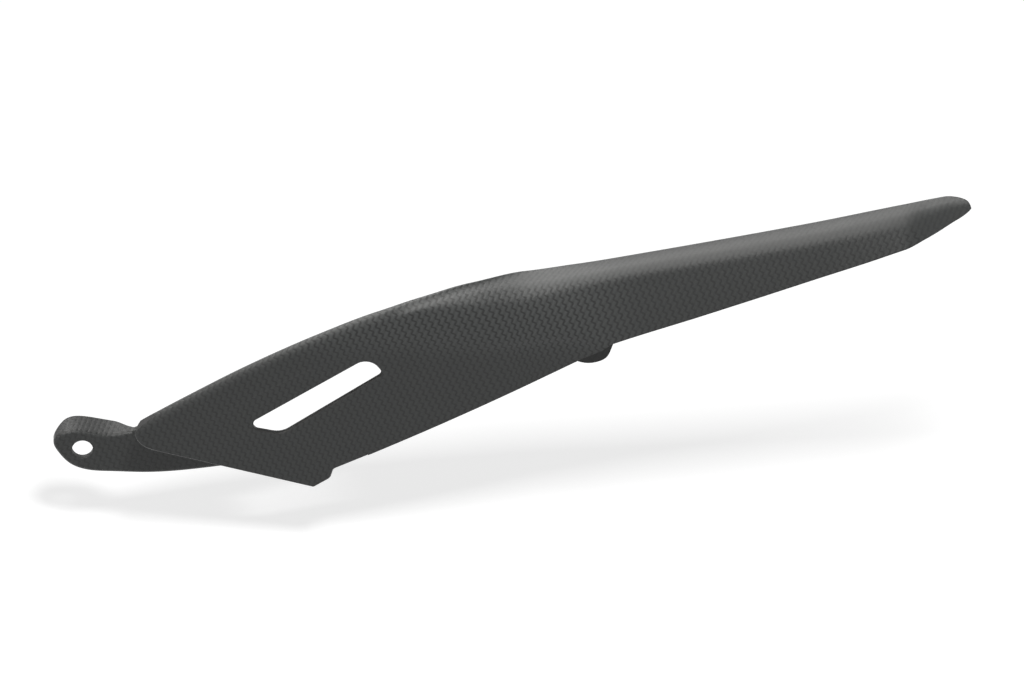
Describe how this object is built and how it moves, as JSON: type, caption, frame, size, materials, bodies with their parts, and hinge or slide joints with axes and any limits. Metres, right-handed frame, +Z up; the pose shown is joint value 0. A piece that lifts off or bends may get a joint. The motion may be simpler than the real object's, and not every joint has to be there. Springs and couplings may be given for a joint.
{
  "type": "chain guard",
  "caption": "One-piece woven carbon chain guard for a motorcycle: a folded channel with a slot window, a tapered tail, a front bolt ear and a rear bolt lug.",
  "frame": {"origin": "centre of the front bolt hole, at mid thickness of the ear plate", "axes": "+X towards the tapered rear end, +Z up, -Y outwards to the side that shows"},
  "size_m": [0.367, 0.0317, 0.1321],
  "materials": {
    "carbon": "plain-weave carbon laminate under a matt clear coat"
  },
  "bodies": {
    "root": {"chain_guard": "carbon"}
  },
  "joints": []
}
